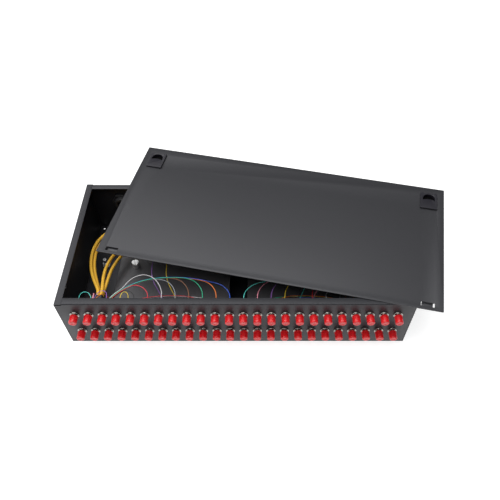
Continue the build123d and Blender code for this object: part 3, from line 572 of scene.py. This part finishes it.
def turned(profile: Sequence[tuple[float, float]], steps: int) -> bmesh.types.BMesh:
    """Spins an outline about Z.

    Args:
        profile: (radius, height) corners from one end of the axis to the other.
        steps: Faces round the axis.

    Returns:
        The closed solid.
    """
    solid = bmesh.new()
    corners = [solid.verts.new((radius, 0.0, height)) for radius, height in profile]
    edges = [solid.edges.new(pair) for pair in zip(corners, corners[1:])]
    bmesh.ops.spin(solid, geom=[*corners, *edges], cent=(0, 0, 0), axis=(0, 0, 1),
                   angle=math.tau, steps=steps, use_merge=True)
    bmesh.ops.remove_doubles(solid, verts=solid.verts, dist=1e-7)
    bmesh.ops.recalc_face_normals(solid, faces=solid.faces)
    return solid


def repeated(name: str, pattern: bmesh.types.BMesh, places: Iterable[Matrix], sharp: float = 32.0) -> bpy.types.Mesh:
    """Copies one solid to many places in a single mesh.

    Args:
        name: Mesh name.
        pattern: The solid, about the origin.
        places: Where each copy goes.
        sharp: Angle over which edges stay hard.

    Returns:
        The mesh.
    """
    single = bpy.data.meshes.new(f"{name}_pattern")
    pattern.to_mesh(single)
    pattern.free()
    whole = bmesh.new()
    for place in places:
        start = len(whole.verts)
        whole.from_mesh(single)
        whole.verts.ensure_lookup_table()
        bmesh.ops.transform(whole, matrix=place, verts=whole.verts[start:])
    mesh = bpy.data.meshes.new(name)
    whole.to_mesh(mesh)
    whole.free()
    bpy.data.meshes.remove(single)
    smooth_by_angle(mesh, sharp)
    return mesh


def eased_copy(node: str, name: str, finish: Finish, width: float, segments: int = 2,
               longest_only: float = 0.0) -> bpy.types.Object:
    """Copies a CAD node with its sharp edges rounded, as a press or a mould leaves them.

    Args:
        node: The CAD node.
        name: The new piece's name.
        finish: Its finish.
        width: Width of the rounded edges.
        segments: Faces across each rounded edge.
        longest_only: Shorter edges than this stay sharp.

    Returns:
        The new piece.
    """
    copy = bmesh.new()
    copy.from_mesh(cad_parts[node].data)
    bmesh.ops.remove_doubles(copy, verts=copy.verts, dist=2e-6)
    bmesh.ops.dissolve_limit(copy, angle_limit=math.radians(0.6), verts=copy.verts, edges=copy.edges,
                             use_dissolve_boundaries=False)
    edges = [e for e in copy.edges if e.is_manifold and e.calc_face_angle() > math.radians(40)
             and e.calc_length() >= longest_only]
    bmesh.ops.bevel(copy, geom=edges, offset=width, offset_type="OFFSET", affect="EDGES", segments=segments,
                    profile=0.5, material=-1, clamp_overlap=True)
    mesh = bpy.data.meshes.new(name)
    copy.to_mesh(mesh)
    copy.free()
    smooth_by_angle(mesh, 30.0)
    return put_in_scene(name, mesh, finish)


def row_places(x_list: Sequence[float], z: float, y: float) -> list[Matrix]:
    """Places on the front face, each with its own Z turned to point forwards."""
    forwards = Matrix.Rotation(math.radians(90), 4, "X")
    return [Matrix.Translation((x, y, z)) @ forwards for x in x_list]


# ------------------------------------------------------------------ stage


@dataclass
class Studio:
    """Camera, pale floor and soft lights."""

    eye: Point = (0.02607, -0.44146, 0.61829)
    dip: float = 51.76
    lens: float = 38.45
    shift: tuple[float, float] = (-0.0157, 0.0066)
    floor_size: float = 3.0
    floor_drop: float = 0.0002
    floor_glow: float = 0.78
    lamps: tuple[tuple[str, Point, Point, tuple[float, float], float], ...] = (
        ("overhead", (-0.45, 0.0, 1.7), (-0.3, 0.0, 0.0), (1.9, 1.9), 38.0),
        ("left_back", (-1.0, 1.4, 1.7), (-0.1, 0.1, 0.0), (0.9, 0.9), 5.0),
        ("side", (-1.7, 0.1, 0.9), (0.0, 0.0, 0.05), (0.9, 1.2), 6.0),
    )

    def camera(self) -> None:
        """Makes the camera, which looks along +Y and down."""
        data = bpy.data.cameras.new("camera")
        data.lens = self.lens
        data.shift_x, data.shift_y = self.shift
        data.clip_start = 0.01
        camera = bpy.data.objects.new("camera", data)
        camera.location = self.eye
        camera.rotation_euler = (math.radians(90 - self.dip), 0, 0)
        bpy.context.scene.collection.objects.link(camera)
        bpy.context.scene.camera = camera

    def floor(self) -> None:
        """Lays the floor just under the case."""
        ground = bmesh.new()
        bmesh.ops.create_grid(ground, x_segments=1, y_segments=1, size=self.floor_size,
                              matrix=Matrix.Translation((0, 0, -self.floor_drop)))
        mesh = bpy.data.meshes.new("floor")
        ground.to_mesh(mesh)
        ground.free()
        white = Finish("floor_white", (0.5, 0.5, 0.5), (0.5, 0.5, 0.5), (0.8, 0.9), marks=0.0, specular=0.1)
        lifted = white.material().node_tree.nodes["Principled BSDF"]
        lifted.inputs["Emission Color"].default_value = (1, 1, 1, 1)
        lifted.inputs["Emission Strength"].default_value = self.floor_glow
        put_in_scene("floor", mesh, white)

    def lamp(self, name: str, at: Point, towards: Point, size: tuple[float, float], power: float) -> None:
        """Hangs one rectangular soft light.

        Args:
            name: Its name.
            at: Its middle.
            towards: The point it faces.
            size: Width and height.
            power: Power in watts.
        """
        data = bpy.data.lights.new(name, "AREA")
        data.shape = "RECTANGLE"
        data.size, data.size_y = size
        data.energy = power
        lamp = bpy.data.objects.new(name, data)
        lamp.location = at
        lamp.rotation_euler = (Vector(towards) - Vector(at)).to_track_quat("-Z", "Y").to_euler()
        bpy.context.scene.collection.objects.link(lamp)

    def surround(self) -> None:
        """Sets a surround that is bright overhead and dark near the horizon, and plainly pale to the camera."""
        world = bpy.data.worlds.new("surround")
        world.use_nodes = True
        desk = NodeDesk(world.node_tree)
        back = world.node_tree.nodes["Background"]
        parts = desk.add("ShaderNodeSeparateXYZ")
        desk.join(desk.add("ShaderNodeTexCoord").outputs["Generated"], parts.inputs["Vector"])
        glow = desk.ramp(parts.outputs["Z"], 0.35, 0.95, 0.10, 0.55)
        seen = desk.math("MULTIPLY", desk.add("ShaderNodeLightPath").outputs["Is Camera Ray"], 0.85)
        desk.join(desk.math("MAXIMUM", seen, glow), back.inputs["Strength"])
        back.inputs["Color"].default_value = (0.96, 0.98, 1.0, 1)
        bpy.context.scene.world = world

    def lights(self) -> None:
        """Sets one wide soft box overhead, and weak ones behind on the left and at the side."""
        for lamp in self.lamps:
            self.lamp(*lamp)
        self.surround()
        bpy.context.scene.view_settings.view_transform = "Standard"

    def build(self) -> None:
        """Builds the whole stage."""
        self.camera()
        self.floor()
        self.lights()


# ------------------------------------------------------------------ cords


@dataclass
class Wiring:
    """Pigtails from the plugs to the fan-outs, and tubes from there to the splice trays."""

    columns: int = 24
    pitch: float = 0.017
    row_heights: tuple[float, float] = (0.0653, 0.0282)
    boot_end_y: float = -0.0775
    fibre: float = 0.0009
    tube: float = 0.0042
    lane: float = 0.0012
    fanout: Point = (-0.1775, -0.076, 0.044)
    side_ports: int = 3
    near_ports: int = 6
    high_port: int = 6
    last_seat: int = 11
    high_join: int = 8
    end_points: int = 5
    near_lead: float = 0.014
    far_lead: float = 0.020
    bow: tuple[tuple[float, float, float], ...] = ((0.0, 0.25, 0.0), (0.15, 0.57, 0.2), (0.48, 0.86, 0.55))
    first_declared: int = 10
    ports: list[float] = field(default_factory=list)

    def __post_init__(self) -> None:
        """Works out the ports' places."""
        self.ports = [(i - (self.columns - 1) / 2) * self.pitch for i in range(self.columns)]

    def turn_over(self, x: float, inside: int) -> list[Point]:
        """Half turn in an upright plane into the fan-out's front face.

        Args:
            x: The plane.
            inside: How many lanes inside the outermost strand.

        Returns:
            Route points.
        """
        step = inside * self.lane
        corner = step * math.tan(math.radians(22.5))
        return [
            (x, -0.0810, 0.0586 - step), (x, corner - 0.0879, 0.0586 - step),
            (x, step - 0.0920, 0.0545 - corner), (x, step - 0.0920, 0.0487 + corner),
            (x, corner - 0.0879, 0.0446 + step), (x, self.fanout[1], 0.0446 + step),
        ]

    def in_lane(self, points: Sequence[Point], slot: float, level: float) -> list[Point]:
        """A bundle's middle line moved to one lane.

        Args:
            points: The middle line.
            slot: Distance to the right of travel.
            level: Distance upwards.

        Returns:
            The lane's points.
        """
        moved = []
        last = len(points) - 1
        for i, (x, y, z) in enumerate(points):
            before, after = points[max(i - 1, 0)], points[min(i + 1, last)]
            way = Vector((after[0] - before[0], after[1] - before[1])).normalized()
            if i >= last - 1:
                way = Vector((0, 1))
            moved.append((x + way.y * slot, y if i == last else y - way.x * slot, z + level))
        return moved

    def pigtail_route(self, number: int, row: Row) -> list[Point]:
        """Route of one pigtail of the left half.

        Args:
            number: Port, counted from the left, from 0.
            row: Its row.

        Returns:
            Points from the boot to the fan-out or the tray.
        """
        x, z = self.ports[number], self.row_heights[row.value]
        start = (x, self.boot_end_y, z)
        if number < self.side_ports:
            turn = self.turn_over(self.fanout[0] + (number - 3.5) * self.lane, row.value)
            return [start, *SIDE_WAYS[row.value][number], *turn]
        if row is Row.LOWER and number in TRAY_WAYS:
            return [start, *TRAY_WAYS[number]]
        up = 1 - 2 * row.value
        seat = number
        if row is Row.UPPER and number >= self.high_port:
            seat = self.last_seat if number == self.high_port else number - 1
        bundle = self.in_lane(BUNDLES[row.value], (seat // 3 - 1.5) * self.lane, up * (seat % 3 + 0.5) * self.lane)
        if number == self.side_ports:
            return [start, *SHORT_WAYS[row.value], *bundle[-self.end_points:]]
        if row is Row.UPPER and number == self.high_port:
            return [start, *HIGH_BOW, *bundle[self.high_join:]]
        lead = self.far_lead if number >= self.near_ports else self.near_lead
        join = next(i for i, point in enumerate(bundle) if point[0] < x - lead)
        reach, width, rise = bundle[join][1] - start[1], x - bundle[join][0], bundle[join][2] - z
        bowed = [(x - left * width, start[1] + back * reach, z + lift * rise) for left, back, lift in self.bow]
        return [start, *bowed, *bundle[join:]]

    def strand(self, name: str, route: Sequence[Point], way: Way, diameter: float,
               finish: Finish) -> tuple[bpy.types.Object, float]:
        """Makes one cord on a smooth line.

        Args:
            name: Piece name.
            route: Control points in the left half.
            way: Which half it runs in.
            diameter: Its diameter.
            finish: Its finish.

        Returns:
            The curve object and its length.
        """
        curve = bpy.data.curves.new(name, "CURVE")
        curve.dimensions = "3D"
        curve.resolution_u = 8
        line = curve.splines.new("NURBS")
        line.points.add(len(route) - 1)
        for point, (x, y, z) in zip(line.points, route):
            point.co = (x * way.value, y, z, 1.0)
        line.order_u = 3
        line.use_endpoint_u = True
        piece = put_in_scene(name, curve, finish)
        bare = bpy.data.meshes.new_from_object(piece.evaluated_get(bpy.context.evaluated_depsgraph_get()))
        length = sum((bare.vertices[e.vertices[0]].co - bare.vertices[e.vertices[1]].co).length for e in bare.edges)
        bpy.data.meshes.remove(bare)
        curve.bevel_depth = diameter / 2
        curve.bevel_resolution = 2 if diameter < 0.002 else 5
        curve.use_fill_caps = True
        return piece, length

    def pigtails(self, row: Row, way: Way) -> None:
        """Makes one row's twelve pigtails in one half.

        Args:
            row: The row.
            way: The half.
        """
        node = f"pigtails_{row.name.lower()}_{way.name.lower()}"
        half = self.columns // 2
        for number in range(half):
            port = number if way is Way.LEFT else self.columns - 1 - number
            order = port - (LOWER_SHIFT if row is Row.LOWER else 0)
            jacket = JACKETS[order % len(JACKETS)]
            route = self.pigtail_route(number, row)
            piece, length = self.strand(f"pigtail_{row.name.lower()}_{port + 1:02d}", route, way, self.fibre,
                                        jacket.finish())
            settle(piece, "case", [node])

    def tubes(self, way: Way) -> None:
        """Makes the four tubes of one half."""
        node = f"tubes_{way.name.lower()}"
        for number, route in enumerate(TUBE_ROUTES, start=1):
            piece, length = self.strand(f"tube_{way.name.lower()}_{number}", route, way, self.tube, TUBE_YELLOW)
            settle(piece, "case", [node])

    def build(self) -> None:
        """Makes every cord."""
        for way in Way:
            self.tubes(way)
            for row in Row:
                self.pigtails(row, way)


# ------------------------------------------------------------------ adapters, plugs and caps


@dataclass
class Ports:
    """The adapters' rings and threads, the plugs behind them, and the caps in front."""

    wiring: Wiring
    face_y: float = -0.1
    ring: float = 0.0058
    ring_thick: float = 0.0013
    barrel: float = 0.004
    neck: float = 0.0047
    sheet: float = 0.0012
    ferrule: float = 0.0013
    thread_pitch: float = 0.00075
    thread_depth: float = 0.00035
    cap_base: float = 0.0028
    cap_tip: float = 0.0130
    cap_radii: tuple[float, float] = (0.0051, 0.0048)
    cap_round: float = 0.0012
    front: float = 0.0106
    back: float = 0.010
    bore: float = 0.00275
    steps: int = 40

    def adapter(self) -> bmesh.types.BMesh:
        """Ring, threaded barrel to the front and thread to the back, with an open bore at each end."""
        crest, root, turns = self.barrel, self.barrel - self.thread_depth, 11
        start, pitch = self.ring_thick + 0.0005, self.thread_pitch
        threads = [(root if i % 2 else crest, start + i * pitch / 2) for i in range(2 * turns)]
        profile = [
            (self.ferrule, -self.back + 0.004), (self.bore, -self.back + 0.004), (self.bore, -self.back),
            (self.barrel - 0.0003, -self.back), (self.barrel, -self.back + 0.0004), (self.barrel, -self.sheet),
            (self.neck, -self.sheet), (self.neck, -0.00002), (self.ring, -0.00002),
            (self.ring, self.ring_thick - 0.0003),
            (self.ring - 0.0001, self.ring_thick - 0.0001), (self.ring - 0.0003, self.ring_thick),
            (0.0050, self.ring_thick), (0.0048, self.ring_thick - 0.0003),
            (self.barrel + 0.0004, self.ring_thick - 0.0003), (root, self.ring_thick), *threads,
            (root, self.front - 0.0003), (root - 0.0003, self.front), (self.bore, self.front),
            (self.bore, self.front - 0.0055), (self.ferrule, self.front - 0.0055), (self.ferrule, -self.back + 0.004),
        ]
        return turned(profile, self.steps)

    def adapters(self, row: Row) -> None:
        """Makes one row of adapters."""
        name = f"adapters_{row.name.lower()}"
        places = row_places(self.wiring.ports, self.wiring.row_heights[row.value], self.face_y)
        mesh = repeated(f"{name}_turned", self.adapter(), places)
        settle(put_in_scene(f"{name}_turned", mesh, NICKEL), "case", [name])

    def plug(self) -> bmesh.types.BMesh:
        """Knurled coupling nut with its body behind."""
        outer, inner = 0.005, 0.0041
        profile = [
            (inner, -0.0045), (outer - 0.0004, -0.0045), (outer, -0.0049), (outer, -0.0076), (outer, -0.0100),
            (outer, -0.0121), (outer - 0.0005, -0.0126), (outer - 0.0005, -0.0130), (0.0029, -0.0130),
            (0.00275, -0.0132), (0.00275, -0.0143), (0.0024, -0.0144), (0.0024, -0.0149), (0.00275, -0.0150),
            (0.00275, -0.0164), (0.0, -0.0164),
        ]
        solid = turned(profile, 48)
        for corner in solid.verts:
            radius = math.hypot(corner.co.x, corner.co.y)
            turn = round(math.atan2(corner.co.y, corner.co.x) / (math.tau / 48))
            if radius > outer - 0.0001 and turn % 2:
                corner.co.x *= 0.955
                corner.co.y *= 0.955
        rim = [e for e in solid.edges if e.is_boundary]
        bmesh.ops.contextual_create(solid, geom=rim)
        return solid

    def plugs(self) -> None:
        """Makes the plugs and their boots."""
        places = [p for z in self.wiring.row_heights for p in row_places(self.wiring.ports, z, self.face_y)]
        mesh = repeated("plugs_knurled", self.plug(), places, 20.0)
        settle(put_in_scene("plugs_knurled", mesh, PLUG_NICKEL), "case", ["connectors"])
        rings = [(0.0, -0.0165)]
        for i in range(5):
            top, wide = -0.01655 - 0.00115 * i, 0.0020 - 0.0002 * i
            rings += [(wide, top), (wide, top - 0.0007), (wide - 0.0003, top - 0.0008), (wide - 0.0003, top - 0.0011)]
        rings += [(0.0008, -0.0224), (0.0, -0.0224)]
        boots = repeated("boots_ribbed", turned(rings, 20), places, 40.0)
        settle(put_in_scene("boots_ribbed", boots, BOOT_BLACK), "case", ["connector_boots"])

    def cap(self) -> bmesh.types.BMesh:
        """Soft cap: rolled lip, slight waist, taper and a rounded end, open towards the face."""
        base, tip, bore = self.cap_base, self.cap_tip, self.barrel + 0.00005
        outer, small = self.cap_radii
        profile = [
            (0.0, base + 0.0086), (bore, base + 0.0086), (bore, base + 0.0003), (bore + 0.0003, base),
            (outer - 0.0003, base), (outer, base + 0.0003), (outer, base + 0.0012), (outer - 0.0002, base + 0.0014),
        ]
        for i in range(5):
            share = i / 4
            profile.append((outer - 0.0002 - (outer - 0.0002 - small) * share, base + 0.0018 + 0.0071 * share))
        for i in range(1, 7):
            angle = math.radians(15 * i)
            in_from_side, down_from_tip = 1 - math.cos(angle), 1 - math.sin(angle)
            profile.append((small - self.cap_round * in_from_side, tip - self.cap_round * down_from_tip))
        profile += [(0.0016, tip), (0.0013, tip - 0.00015), (0.0, tip - 0.0002)]
        return turned(profile, 32)

    def caps(self) -> None:
        """Makes the caps: twelve on their own bodies, and two groups."""
        upper, lower = self.wiring.row_heights
        dozen = self.wiring.columns // 2
        groups = [(f"dust_cap_{i + 1:02d}", f"cap_{i + 1:02d}", [x], upper)
                  for i, x in enumerate(self.wiring.ports[:dozen])]
        groups.append(("dust_caps_upper_right", "caps_upper_right", self.wiring.ports[dozen:], upper))
        groups.append(("dust_caps_lower", "caps_lower", self.wiring.ports, lower))
        for node, body, places, z in groups:
            mesh = repeated(f"{node}_soft", self.cap(), row_places(places, z, self.face_y), 40.0)
            settle(put_in_scene(f"{node}_soft", mesh, CAP_RED), body, [node])

    def build(self) -> None:
        """Makes every piece of the ports."""
        for row in Row:
            self.adapters(row)
        self.plugs()
        self.caps()
        dress("adapter_nuts", PLUG_NICKEL)


# ------------------------------------------------------------------ case, cover, trays and fittings


def dress(node: str, finish: Finish) -> None:
    """Gives a CAD node its finish."""
    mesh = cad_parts[node].data
    mesh.materials.clear()
    mesh.materials.append(finish.material())


@dataclass
class Sheetwork:
    """Folded case and its loose cover, with eased edges."""

    edge: float = 0.0002

    def case(self) -> None:
        """Makes the case's five sheets."""
        for node in ("floor_pan", "front_panel", "rear_panel", "side_wall_left", "side_wall_right"):
            piece = eased_copy(node, f"{node}_sheet", CASE_PAINT, self.edge, longest_only=0.012)
            settle(piece, "case", [node])

    def cover(self) -> None:
        """Makes the cover and its latches."""
        piece = eased_copy("cover_plate", "cover_plate_sheet", COVER_PAINT, self.edge)
        settle(piece, "cover", ["cover_plate"])
        for end in ("left", "right"):
            surround = eased_copy(f"latch_frame_{end}", f"latch_frame_{end}_moulded", LATCH_BLACK, 0.0002)
            settle(surround, "cover", [f"latch_frame_{end}"])
            # The slider carries the near-black painted shade that makes the latch window look like a shaded recess.
            slider = eased_copy(f"latch_slider_{end}", f"latch_slider_{end}_moulded", SLIDER_PAINTED_SHADE, 0.0002)
            settle(slider, f"latch_{end}", [f"latch_slider_{end}"])

    def build(self) -> None:
        """Makes the sheet pieces."""
        self.case()
        self.cover()


@dataclass
class Trays:
    """Splice trays and what holds and fills them."""

    thumb: float = 0.0048
    knurls: int = 56
    slot: tuple[float, float] = (0.0018, 0.0014)
    slot_turn: float = -65.0

    def outline(self, radius: float, side: int = 0) -> list[tuple[float, float]]:
        """Knurled outline of a nut, or the part of it on one side of the slot.

        Args:
            radius: Radius over the knurls.
            side: 0 for the whole outline, 1 or -1 for one side of the slot.

        Returns:
            Corners in order, before the slot's turn.
        """
        steps = [math.tau * i / self.knurls for i in range(self.knurls)]
        corners = [((radius - 0.0002 * (i % 2)) * math.cos(t), (radius - 0.0002 * (i % 2)) * math.sin(t))
                   for i, t in enumerate(steps)]
        if not side:
            return corners
        half = self.slot[0] / 2
        reach = math.sqrt(radius**2 - half**2) - 0.0002
        kept = [(x, side * y) for x, y in corners if y > half + 0.0001]
        kept = [(reach, side * half), *kept, (-reach, side * half)]
        return kept if side > 0 else kept[::-1]

    def thumb_nut(self, spot: str) -> None:
        """Makes one knurled round nut with a slot across its top.

        Args:
            spot: Its place, as in the node's name.
        """
        node = f"thumb_nut_{spot}"
        low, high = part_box(node)
        middle = (low + high) / 2
        seat, top = high.z - low.z - self.slot[1], high.z - low.z
        solid = bmesh.new()
        for side, bottom, end in ((0, 0.0, seat), (1, seat, top), (-1, seat, top)):
            face = solid.faces.new([solid.verts.new((x, y, bottom)) for x, y in self.outline(self.thumb, side)])
            risen = bmesh.ops.extrude_face_region(solid, geom=[face], use_keep_orig=True)["geom"]
            verts = [v for v in risen if isinstance(v, bmesh.types.BMVert)]
            bmesh.ops.translate(solid, verts=verts, vec=(0, 0, end - bottom))
        rims = [e for e in solid.edges if all(abs(v.co.z - top) < 1e-6 for v in e.verts)]
        bmesh.ops.bevel(solid, geom=rims, offset=0.00035, offset_type="OFFSET", affect="EDGES", segments=1,
                        profile=0.5, material=-1, clamp_overlap=True)
        bmesh.ops.recalc_face_normals(solid, faces=solid.faces)
        turn = Matrix.Rotation(math.radians(self.slot_turn), 4, "Z")
        mesh = repeated(f"{node}_knurled", solid, [Matrix.Translation((middle.x, middle.y, low.z)) @ turn], 20.0)
        settle(put_in_scene(f"{node}_knurled", mesh, ZINC), f"nut_{spot}", [node])

    def build(self) -> None:
        """Makes the trays and their parts."""
        for end in ("left", "right"):
            tray = eased_copy(f"splice_tray_{end}", f"splice_tray_{end}_moulded", TRAY_GREY, 0.0003)
            settle(tray, "case", [f"splice_tray_{end}"])
            dress(f"tray_lid_{end}", LID_GREY)
        for node, finish in (("splice_combs", COMB_GREY), ("splice_sleeves", SLEEVE_CLEAR), ("tray_studs", ZINC)):
            dress(node, finish)
        for spot in ("left_outer", "left_inner", "right_outer", "right_inner"):
            self.thumb_nut(spot)


@dataclass
class Fittings:
    """Glands at the back, the earth point and the fan-outs."""

    def build(self) -> None:
        """Dresses each fitting."""
        for node in ("gland_bodies", "gland_locknuts"):
            settle(eased_copy(node, f"{node}_moulded", NYLON_BLACK, 0.0003), "case", [node])
        for end in ("left", "right"):
            dome = eased_copy(f"gland_dome_{end}", f"gland_dome_{end}_moulded", NYLON_BLACK, 0.0003)
            settle(dome, f"gland_{end}", [f"gland_dome_{end}"])
        dress("earth_stud", ZINC)
        dress("earth_nut", ZINC)
        dress("fanout_brackets", CASE_PAINT)
        blocks = eased_copy("fanout_blocks", "fanout_blocks_moulded", FANOUT_BLACK, 0.0004)
        settle(blocks, "case", ["fanout_blocks"])


def main() -> None:
    """Builds the stage, the cords and every sub-assembly in order."""
    logging.basicConfig(level=logging.INFO, format="%(message)s")
    Studio().build()
    wiring = Wiring()
    builders: Sequence[Callable[[], None]] = (
        wiring.build, Ports(wiring).build, Sheetwork().build, Trays().build, Fittings().build,
    )
    for build in builders:
        build()


if __name__ == "__main__":
    main()
